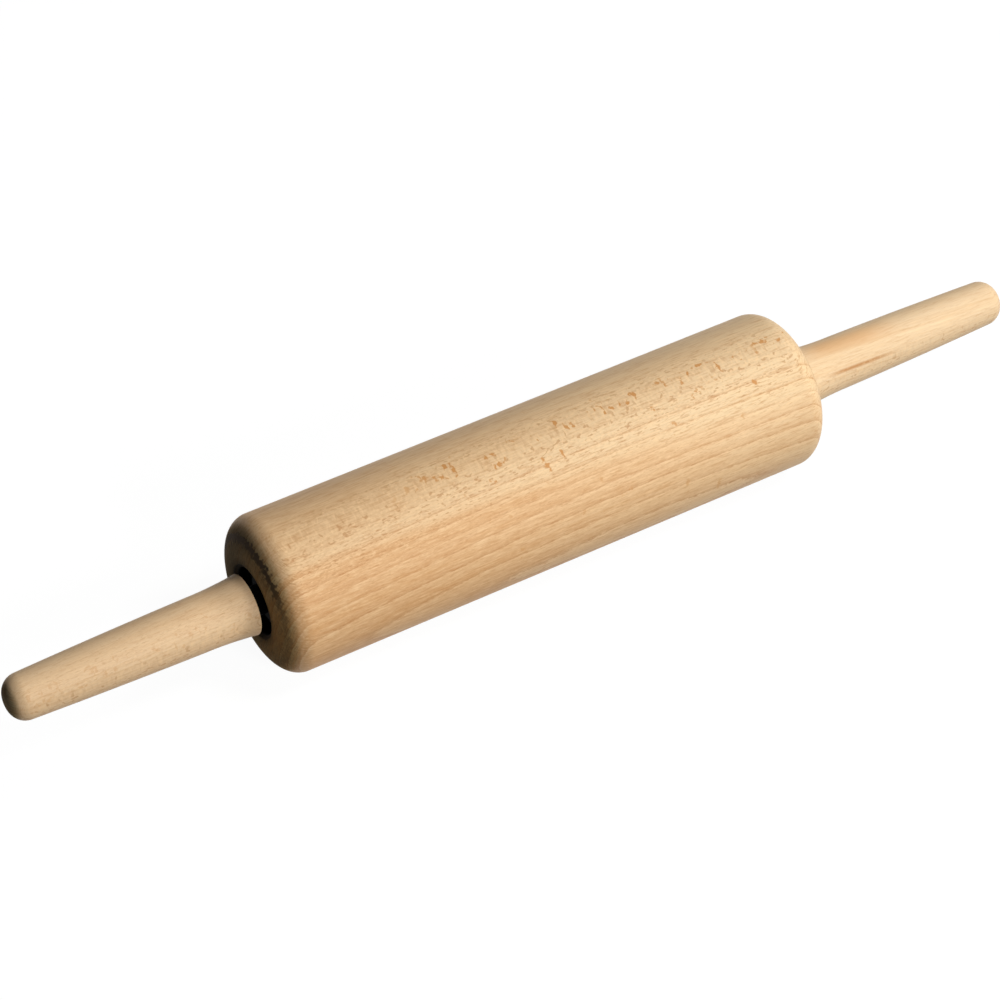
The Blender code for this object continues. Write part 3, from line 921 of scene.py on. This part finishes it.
def lay_grain(tree, blank):
    """The wood's places, bent as it grew. A noise's divisors are the sizes of its patches in mm."""
    along, out, round_pith = wood_places(tree, blank)
    drift = tree.noise((along / 70, round_pith / 9, out / 14))
    waver = tree.noise((along / 12, round_pith / 3, out / 5), 1.0)
    jag = tree.noise((along / 2.2, round_pith / 0.6, out / 8), 2.0, 0.6)
    swerve = tree.noise((along / 1.3, round_pith / 0.5, out / 3 + 7), 1.0)
    straight = out - along * along * blank.bow - along * blank.tilt
    grown_out = straight + drift * 1.5 + waver * 0.45 + jag * 0.6
    fibre = tree.noise((along / 16, round_pith / 0.32, grown_out / 0.32), 3.0, 0.6)
    return Grain(along, out, round_pith, grown_out, jag, swerve, fibre)


def add_mark(tree, wood, mark):
    """Lay a soft streak over the wood."""
    x, y, z = tree.parts(tree.place())
    angle = (z - AXIS_HEIGHT).arc_tangent(-y) * math.degrees(1.0)
    share = (x / MM - mark.start[0]) / (mark.end[0] - mark.start[0])
    middle = mark.start[1] + (mark.end[1] - mark.start[1]) * share
    across = ((angle - middle) / mark.width).size()
    inside = tree.smooth(share, 0.0, 0.3) * (1 - tree.smooth(share, 0.55, 1.0))
    inside = inside * (1 - tree.smooth(across, 0.1, 1.0))
    return tree.blend(inside * mark.strength, wood, mark.tint)


def add_years(tree, blank, grain, pale, warm, colours):
    """The wood's ground colour with its growth years, and how dark the year's line is at each point."""
    along, out, round_pith, grown_out = grain[:4]
    fibre = grain.fibre
    late = (grown_out - 29.5).at_least(0.0)
    years = blank.offset + grown_out * blank.year + grown_out.at_least(0.0) * grown_out * blank.narrowing
    years = years + late * late * 0.034
    year = years.whole()
    in_year = years - year

    # Some years and some stretches of a line are stronger than others
    draw = tree.add("ShaderNodeTexWhiteNoise", {"W": year + blank.seed}, noise_dimensions="1D")["Value"]
    fade = tree.noise((along / 45, year * 3.7, round_pith / 14), 1.0) + 0.5
    broken = tree.noise((along / 3.2, year * 5.1, round_pith / 1.3), 1.0)
    settled = tree.smooth(grown_out, 16.0, 23.0)
    middle = tree.smooth(grown_out, 0.0, 9.0) * 0.5 - tree.smooth(grown_out, 14.0, 18.0) * 0.2
    shown = (0.2 + middle + 0.3 * tree.smooth(grown_out, 21.0, 27.0)) * blank.lines
    level = (0.75 + 0.25 * draw) * (0.75 + 0.5 * fade + broken * (2.0 - settled)) * shown
    level = (level * (1 + fibre * 1.3)).at_least(0.0)

    # Each year darkens towards its end, and the next starts pale
    line = tree.ramp(in_year, *LINE_STOPS)
    fresh = tree.ramp(in_year, *FRESH_STOPS)

    # The ground is warm near the bark and to the left
    cloud = tree.noise((along / 60, round_pith / 16, out / 16))
    turned_warm = tree.smooth(grown_out - along * 0.03 - along.at_most(0.0) * 0.045, 12.5, 18.5)
    zone = 0.45 - along * 0.0026 - 0.25 * tree.smooth(grown_out, -4.0, 9.0)
    zone = zone + 0.68 * turned_warm + cloud * 0.4
    zone = zone.between(0.0, 1.0) * 0.8 - along * turned_warm * 0.0015

    # Over it lie the years, broad streaks and fine threads
    band = tree.noise((along / 90, round_pith / 40, grown_out / 0.9), 3.0)
    thread = tree.noise((along / 7, round_pith / 0.75, out / 0.75), 2.0, 0.6)
    streak = (0.5 + fibre * 0.9 + band * 1.3).between(0.0, 1.0)
    wood = tree.layers(
        tree.blend(zone.between(0.0, 1.0), pale, warm),
        ((line * level * 1.1).at_most(1.0), colours.line),
        ((fresh * level * 0.7).at_most(1.0), colours.ray_face),
        (blank.streaks, tree.ramp(streak, (0.0, colours.line), (1.0, (1.0, 0.86, 0.62)))),
        (tree.smooth(thread, 0.0, 0.22) * (0.4 * blank.threads), colours.line),
        (tree.smooth(-thread, 0.0, 0.22) * (0.45 * blank.threads), colours.ray_face),
    )
    return wood, line


def add_rays(tree, blank, grain, wood, colours):
    """Rays: pale flecks, dark dashes and clusters of orange spots."""
    along, out, round_pith, grown_out = grain[:4]
    along_it = along + grain.swerve * 2.0
    round_it = round_pith + grain.jag * 0.15 + grain.swerve * 0.12
    fine = tree.noise((along_it / 1.2, round_it / 0.19, out / 6), 1.0)
    dash = tree.noise((along_it / 2.5 + 30, round_it / 0.27, out / 9), 1.0)
    fleck = tree.noise((along_it / 1.8 + 70, round_it / 0.33, out / 3.2), 1.5)
    spots = tree.noise((along_it / 2.3 + 40, round_it / 3.2, out / 3.4))

    # Rays show where the wood is cut along them, and spots near one line, in clusters
    clear = 1 - 0.5 * tree.smooth(grown_out, 8.0, 20.0)
    shown = (0.15 + 0.85 * tree.smooth(grown_out, -17.0, -7.0)) * clear * blank.rays
    near = 1 - tree.smooth((out + 4.5).size(), 1.0, 5.0)
    cluster = tree.noise((along / 8, round_pith / 20, out / 8), 1.0)
    cluster = cluster + near * 0.2 - tree.smooth(along, 50.0, 115.0) * 0.1
    spotted = tree.smooth(cluster, 0.12, 0.18) * tree.smooth(along - blank.spots_from, -20.0, 20.0)
    spotted = spotted * blank.spots
    return tree.layers(
        wood,
        (tree.smooth(fine, 0.02, 0.22) * shown * 0.45, colours.ray_face),
        (tree.smooth(-fine, 0.03, 0.2) * shown * 0.16, colours.ray),
        (tree.smooth(dash, 0.1, 0.18) * shown * (0.52 - near * 0.34), colours.ray),
        (tree.smooth(-fleck, 0.12, 0.2) * shown * 0.3, colours.ray_face),
        (tree.smooth(spots, 0.06, 0.13) * spotted * shown * 0.9, colours.spot),
    )


def add_end_grain(tree, blank, grain, wood, line, colours):
    """Darken wood that is cut across, as end grain is, and deepen it with painted shade: more on the left
    end than the right and more towards the top. Returns it, how far it is cut so and how deep it is in a
    hollow, the mask of the painted shade there.
    """
    along, out, round_pith, grown_out = grain[:4]
    squarely = tree.attribute("end_grain")
    # Painted shade: the right end's end grain is darkened less than the left's, which lies in shade
    right = tree.smooth(along, -20.0, 20.0)
    end = tree.smooth(squarely - right * 0.2, 0.55, 0.9)
    wood = tree.blend(end * line * 0.6, wood, colours.line)
    # Painted shade: the tint is darker on the top side of a piece than on the bottom side
    cut = tree.blend(tree.smooth(out, -22.0, 22.0), colours.end_grain_and_painted_shade_top, colours.end_grain_and_painted_shade_bottom)
    wood = tree.blend(end, wood, cut, "MULTIPLY")
    pores = tree.noise((round_pith / 6, grown_out / 0.5, 3.0))
    wood = tree.blend(end * tree.smooth(pores, -0.02, 0.16) * 0.35, wood, (0.05, 0.03, 0.012))
    if not blank.hollowed:
        return wood, end, None

    # Painted shade: a toothed dark band where the left end's face turns into its rounded edge, weaker
    # towards the bottom and none on the right end
    teeth = tree.noise((round_pith / 1.8, out / 1.8, 8.0), 1.0)
    inside = 1 - tree.smooth(squarely - teeth * 0.1, 0.92, 0.98)
    edge = tree.smooth(squarely + teeth * 0.2, 0.83, 0.88) * inside
    edge = edge * (0.95 - 0.6 * tree.smooth(grown_out, 2.0, 20.0)) * (1 - right)
    wood = tree.blend(edge, wood, (0.02, 0.01, 0.004))
    # Painted shade: wood in the hollows is blended to black, fading out over the lip
    hollow = tree.attribute("hollow")
    return tree.blend(hollow, wood, BLACK), end, hollow


def beech(name, blank, pale, warm, colours):
    """Beech: sawtooth growth years, fine fibres, and rays that show as flecks or short dashes."""
    material, tree = new_material(name)
    grain = lay_grain(tree, blank)
    wood, line = add_years(tree, blank, grain, pale, warm, colours)
    for mark in blank.marks:
        wood = add_mark(tree, wood, mark)
    wood = add_rays(tree, blank, grain, wood, colours)
    wood, end, hollow = add_end_grain(tree, blank, grain, wood, line, colours)
    surface = tree.add("ShaderNodeBsdfPrincipled", {
        "Base Color": wood,
        "Roughness": 0.5 + grain.fibre * 0.12 - line * 0.05 + end * 0.35,
        "Normal": tree.bump(grain.fibre, 0.2, 0.03 * MM),
        "IOR": 1.45,
        "Specular IOR Level": 0.2,
    })[0]
    # Painted shade: a black diffuse surface is mixed in over the hollows
    if blank.hollowed:
        painted_shade_black = tree.add("ShaderNodeBsdfDiffuse", {"Color": BLACK})[0]
        surface = tree.add("ShaderNodeMixShader", {0: hollow, 1: surface, 2: painted_shade_black})[0]
    tree.add("ShaderNodeOutputMaterial", {"Surface": surface})
    return material


def mark_end_grain(piece):
    """Store how squarely each point's surface cuts the fibres, which run along X."""
    store(piece.data, "end_grain", [abs(vertex.normal.x) for vertex in piece.data.vertices])


def paint_hollow_shade(piece, radius, fade):
    """Store how far each point lies inside the ends' hollows, where no light falls: the mask of the painted
    shade there.
    """
    marks = []
    for vertex in piece.data.vertices:
        inward = 1 - (math.hypot(vertex.co.y, vertex.co.z - AXIS_HEIGHT) - radius) / fade
        marks.append(min(max(inward, 0.0), 1.0) ** 1.3)
    store(piece.data, "hollow", marks)


# Metals and mouldings

def metal(name, tint, roughness, spacing, depth):
    """Steel or brass, with fine marks."""
    material, tree = new_material(name)
    place = tree.place()
    marks = tree.noise(tuple(part / (gap * MM) for part, gap in zip(tree.parts(place), spacing)), 3.0, 0.6)
    cloud = tree.noise(place, 3.0, scale=180.0)
    level = (0.5 + marks * 0.8 + cloud * 0.5).between(0.0, 1.0)
    dull = tuple(0.8 * part for part in tint)
    surface = tree.add("ShaderNodeBsdfPrincipled", {
        "Base Color": tree.blend(level, dull, tint),
        "Metallic": 1.0,
        "Roughness": roughness + marks * 0.12 + cloud * 0.08,
        "Normal": tree.bump(marks, 0.3, depth * MM),
    })[0]
    tree.add("ShaderNodeOutputMaterial", {"Surface": surface})
    return material


def moulded(name, tint, roughness, shine):
    """Nylon or rubber, slightly uneven in tone."""
    material, tree = new_material(name)
    place = tree.place()
    cloud = tree.noise(place, 3.0, scale=250.0)
    fine = tree.noise(place, scale=2500.0)
    dull = tuple(0.86 * part for part in tint)
    surface = tree.add("ShaderNodeBsdfPrincipled", {
        "Base Color": tree.blend(0.5 + cloud, dull, tint),
        "Roughness": roughness + fine * 0.1,
        "Normal": tree.bump(fine, 0.2, 0.03 * MM),
        "IOR": 1.53,
        "Specular IOR Level": shine,
    })[0]
    tree.add("ShaderNodeOutputMaterial", {"Surface": surface})
    return material


def finish(slot):
    """The material of a metal or a moulding, made when it is first asked for."""
    name = slot + "_finish"
    if name in bpy.data.materials:
        return bpy.data.materials[name]
    tint = tuple(getattr(bpy.context.scene.pin_metal, slot))
    if slot in METALS:
        return metal(name, tint, *METALS[slot])
    return moulded(name, tint, *MOULDINGS[slot])


# Operators

class ROLLINGPIN_OT_roller(bpy.types.Operator):
    """Turn the beech roller with its rounded, recessed ends"""

    bl_idname = "rolling_pin.roller"
    bl_label = "Roller"

    def execute(self, context):
        scene = context.scene
        sizes = scene.pin_roller
        colours = scene.pin_wood
        wood = beech("roller_wood", ROLLER_BLANK, colours.pale, colours.warm, colours)
        line = roller_line(sizes, scene.pin_bearing)
        values = {"Steps round": sizes.steps, "Material": wood}
        piece = grown("beech_roller", line, "Turned piece", values)
        mark_end_grain(piece)
        paint_hollow_shade(piece, sizes.recess_diameter / 2, 1.5 * sizes.lip_round)
        fit(piece, "roller_and_outer_rings", "roller_beech", "roller")
        return {"FINISHED"}


class ROLLINGPIN_OT_handles(bpy.types.Operator):
    """Turn the two flared, tapering beech handles"""

    bl_idname = "rolling_pin.handles"
    bl_label = "Handles"

    def execute(self, context):
        scene = context.scene
        colours = scene.pin_wood
        blanks = {"left": (LEFT_BLANK, colours.left_grip), "right": (RIGHT_BLANK, colours.right_grip)}
        for label, side in SIDES:
            blank, tint = blanks[label]
            wood = beech(label + "_handle_wood", blank, tint, tint, colours)
            line = on_side(handle_bore_line(scene.pin_handle, scene.pin_axle), side)
            values = {**named(scene.pin_handle), "Side": float(side), "Material": wood}
            piece = grown(label + "_grip", line, "Turned handle", values)
            mark_end_grain(piece)
            fit(piece, "handles_and_axle", "handle_beech", label + "_handle")
        return {"FINISHED"}


class ROLLINGPIN_OT_axle(bpy.types.Operator):
    """Make the threaded axle, its inserts and its spacers"""

    bl_idname = "rolling_pin.axle"
    bl_label = "Axle, inserts and spacers"

    def execute(self, context):
        axle = context.scene.pin_axle
        body = "handles_and_axle"
        thread = {"pitch": axle.thread_pitch, "depth": axle.thread_depth}
        line, marks = axle_line(axle)
        turned("steel_axle", line, axle.steps, body, "bright_steel", "axle", marks, **thread)
        for label, side in SIDES:
            line, marks = insert_line(axle)
            line = on_side(line, side)
            node = label + "_threaded_insert"
            turned(label + "_brass_insert", line, axle.steps, body, "brass", node, marks, **thread)
            line = on_side(spacer_line(axle, context.scene.pin_bearing), side)
            turned(label + "_sleeve", line, axle.steps, body, "black_steel", label + "_spacer")
        return {"FINISHED"}


class ROLLINGPIN_OT_clips(bpy.types.Operator):
    """Make the open retaining rings that sit in the axle's grooves"""

    bl_idname = "rolling_pin.clips"
    bl_label = "Retaining rings"

    def execute(self, context):
        for label, side in SIDES:
            piece = retaining_ring(label + "_clip", context.scene.pin_axle, side)
            piece.data.materials.append(finish("spring_steel"))
            fit(piece, "handles_and_axle", "spring_steel", label + "_retaining_ring")
        return {"FINISHED"}


class ROLLINGPIN_OT_bearings(bpy.types.Operator):
    """Make the rings, seals, cages and balls of both bearings"""

    bl_idname = "rolling_pin.bearings"
    bl_label = "Ball bearings"

    def execute(self, context):
        bearing = context.scene.pin_bearing
        steps = bearing.steps
        fixed, turning = "handles_and_axle", "roller_and_outer_rings"
        for label, side in SIDES:
            node = label + "_bearing_"
            line = on_side(inner_ring_line(bearing), side)
            turned(label + "_inner_race", line, steps, fixed, "bearing_steel", node + "inner_ring")
            line = on_side(outer_ring_line(bearing), side)
            turned(label + "_outer_race", line, steps, turning, "bearing_steel", node + "outer_ring")
            for place, face in (("outboard", 1), ("inboard", -1)):
                line = on_side(seal_line(bearing, face), side)
                name = f"{label}_{place}_rubber_seal"
                turned(name, line, steps, turning, "seal_rubber", f"{node}{place}_seal")
            orbiting = label + "_cage_and_balls"
            values = {**ball_values(side), "Material": finish("ball_steel")}
            balls = grown(label + "_balls", [(0.0, 0.0)], "Bearing balls", values)
            nodes = [f"{node}ball_{number}" for number in range(1, bearing.balls + 1)]
            fit(balls, orbiting, "ball_steel", *nodes)
            line = on_side(cage_line(bearing), side)
            # Both crowns are turned with their faces outwards, as the cutting of the pockets needs
            if side > 0:
                line.reverse()
            values = {**ball_values(side), "Steps round": steps, "Material": finish("nylon")}
            cage = grown(label + "_crown_cage", line, "Bearing cage", values)
            fit(cage, orbiting, "nylon", node + "cage")
        return {"FINISHED"}


def polar(radius, angle, middle=(0.0, 0.0)):
    return middle[0] + radius * math.cos(angle), middle[1] + radius * math.sin(angle)


def ring_outlines(inner, axle):
    """The retaining ring's edge and the edges of its two holes, as loops of (x, y)."""
    lug, crown, swing = inner + CLIP_LUG, inner + CLIP_LUG + CLIP_LUG_CROWN, CLIP_LUG_SWING
    first, last = CLIP_HALF_GAP, TURN - CLIP_HALF_GAP
    angles = [first + angle for angle in even(0, TURN - 2 * CLIP_HALF_GAP, CLIP_STEPS)]
    edge = [(lug, first - 0.02), (crown, first + swing / 2), (lug, first + swing)]
    for angle in angles:
        if first + swing * 1.25 < angle < last - swing * 1.25:
            back = 0.5 - 0.5 * math.cos(angle)
            edge.append((inner + axle.clip_width * (0.62 + 0.38 * back), angle))
    edge += [(lug, last - swing), (crown, last - swing / 2), (lug, last + 0.02)]
    edge += [(inner, angle) for angle in reversed(angles)]
    loops = [[polar(radius, angle) for radius, angle in edge]]
    for centre in (first + swing / 2, last - swing / 2):
        middle = polar(inner + CLIP_HOLE_OUT, centre)
        turns = even(0, -TURN, CLIP_HOLE_STEPS)[:-1]
        loops.append([polar(CLIP_HOLE_RADIUS, angle, middle) for angle in turns])
    return loops


def retaining_ring(name, axle, side):
    """A flat spring ring, wide at its back, with a lug and a small hole at each open end."""
    curve = bpy.data.curves.new(name + "_outline", "CURVE")
    curve.dimensions = "2D"
    curve.fill_mode = "BOTH"
    curve.extrude = axle.clip_thickness / 2 - CLIP_EDGE
    curve.bevel_depth = CLIP_EDGE
    curve.bevel_resolution = 1
    curve.offset = -CLIP_EDGE
    for loop in ring_outlines(axle.diameter / 2 - axle.groove_depth + SEAT_PLAY, axle):
        spline = curve.splines.new("POLY")
        spline.points.add(len(loop) - 1)
        spline.use_cyclic_u = True
        for point, (x, y) in zip(spline.points, loop):
            point.co = (x, y, 0.0, 1.0)
    mesh = as_mesh(put(name + "_outline", curve))
    upright = Matrix.Rotation(side * math.pi / 2, 4, "Y")
    mesh.transform(Matrix.Translation((side * CLIP_MIDDLE, 0.0, AXIS_HEIGHT)) @ upright)
    bm = bmesh.new()
    bm.from_mesh(mesh)
    bmesh.ops.remove_doubles(bm, verts=bm.verts, dist=CLIP_WELD_DISTANCE)
    bmesh.ops.recalc_face_normals(bm, faces=bm.faces)
    bm.to_mesh(mesh)
    bm.free()
    return add_piece(name, mesh)


class ROLLINGPIN_OT_stage(bpy.types.Operator):
    """Make the floor, the lamps and the camera"""

    bl_idname = "rolling_pin.stage"
    bl_label = "Stage"

    def execute(self, context):
        settings = context.scene.pin_stage
        context.scene.view_settings.view_transform = "Standard"
        add_floor()
        add_room(settings)
        for name, up, aside in LAMPS:
            add_lamp(name + "_lamp", getattr(settings, name + "_power"), up, aside)
        add_camera(settings)
        return {"FINISHED"}


def add_floor():
    """A wide plain floor: white to the camera with a faint shadow, dull to the wood."""
    mesh = bpy.data.meshes.new("floor")
    bm = bmesh.new()
    bmesh.ops.create_grid(bm, x_segments=1, y_segments=1, size=FLOOR_HALF_WIDTH)
    bm.to_mesh(mesh)
    bm.free()
    floor = put("floor", mesh)
    floor.location.z = -FLOOR_DROP
    material, tree = new_material("floor")
    glow = tree.add("ShaderNodeEmission", {"Color": WHITE, "Strength": tree.seen() * FLOOR_GLOW})[0]
    dull = tree.add("ShaderNodeBsdfDiffuse", {"Color": FLOOR_TONE})[0]
    both = tree.add("ShaderNodeAddShader", {0: glow, 1: dull})[0]
    tree.add("ShaderNodeOutputMaterial", {"Surface": both})
    mesh.materials.append(material)


def add_room(settings):
    """White all round to the camera and in reflections, and a dim room to everything else."""
    world = bpy.data.worlds.new("room")
    tree = empty_tree(world)
    level = settings.ambient + tree.seen() * (1 - settings.ambient)
    room = tree.add("ShaderNodeBackground", {"Color": WHITE, "Strength": level})[0]
    tree.add("ShaderNodeOutputWorld", {"Surface": room})
    bpy.context.scene.world = world


def add_lamp(name, power, up, aside):
    """A square lamp that faces the roller's middle, so many degrees up from the front and to the right."""
    data = bpy.data.lights.new(name, "AREA")
    data.shape = "SQUARE"
    data.size = LAMP_SIZE
    data.energy = power
    lamp = put(name, data)
    up, aside = math.radians(up), math.radians(aside)
    way = Vector((math.sin(aside), -math.cos(up) * math.cos(aside), math.sin(up) * math.cos(aside)))
    lamp.location = Vector((0.0, 0.0, AXIS_HEIGHT)) + way * LAMP_DISTANCE
    lamp.rotation_mode = "QUATERNION"
    lamp.rotation_quaternion = (-way).to_track_quat("-Z", "Y")


def add_camera(settings):
    """The photograph's camera. Its picture is square."""
    data = bpy.data.cameras.new("camera")
    data.sensor_width = 36.0
    data.lens = settings.lens
    data.clip_start = 0.01
    data.clip_end = 100.0
    camera = put("camera", data)
    azimuth, elevation = settings.azimuth, settings.elevation
    right = Vector((math.cos(azimuth), -math.sin(azimuth), 0.0))
    back = Vector((
        -math.sin(azimuth) * math.cos(elevation),
        -math.cos(azimuth) * math.cos(elevation),
        math.sin(elevation),
    ))
    up = back.cross(right)
    middle = Vector((0.0, 0.0, AXIS_HEIGHT))
    place = middle - right * settings.aim_right - up * settings.aim_up + back * settings.distance
    turn = Matrix((right, up, back)).transposed()
    camera.matrix_world = Matrix.Translation(place) @ turn.to_4x4()
    bpy.context.scene.camera = camera


OPERATORS = (
    ROLLINGPIN_OT_roller,
    ROLLINGPIN_OT_handles,
    ROLLINGPIN_OT_axle,
    ROLLINGPIN_OT_clips,
    ROLLINGPIN_OT_bearings,
    ROLLINGPIN_OT_stage,
)

SETTINGS = {
    "pin_roller": RollerSizes,
    "pin_handle": HandleSizes,
    "pin_axle": AxleSizes,
    "pin_bearing": BearingSizes,
    "pin_wood": WoodColours,
    "pin_metal": MetalColours,
    "pin_stage": StageSettings,
}


class ROLLINGPIN_PT_panel(bpy.types.Panel):
    """Lists the pieces of the rolling pin"""

    bl_idname = "ROLLINGPIN_PT_panel"
    bl_label = "Rolling pin"
    bl_space_type = "VIEW_3D"
    bl_region_type = "UI"
    bl_category = "Rolling pin"

    def draw(self, context):
        for operator in OPERATORS:
            self.layout.operator(operator.bl_idname)
        for name, kind in SETTINGS.items():
            box = self.layout.box()
            for key in kind.__annotations__:
                box.prop(getattr(context.scene, name), key)


CLASSES = (*SETTINGS.values(), *OPERATORS, ROLLINGPIN_PT_panel)


def register():
    for item in CLASSES:
        bpy.utils.register_class(item)
    for name, group in SETTINGS.items():
        setattr(bpy.types.Scene, name, bpy.props.PointerProperty(type=group))


def unregister():
    for name in SETTINGS:
        delattr(bpy.types.Scene, name)
    for item in reversed(CLASSES):
        bpy.utils.unregister_class(item)


def main():
    register()
    bpy.ops.rolling_pin.roller()
    bpy.ops.rolling_pin.handles()
    bpy.ops.rolling_pin.axle()
    bpy.ops.rolling_pin.clips()
    bpy.ops.rolling_pin.bearings()
    bpy.ops.rolling_pin.stage()


if __name__ == "__main__":
    main()
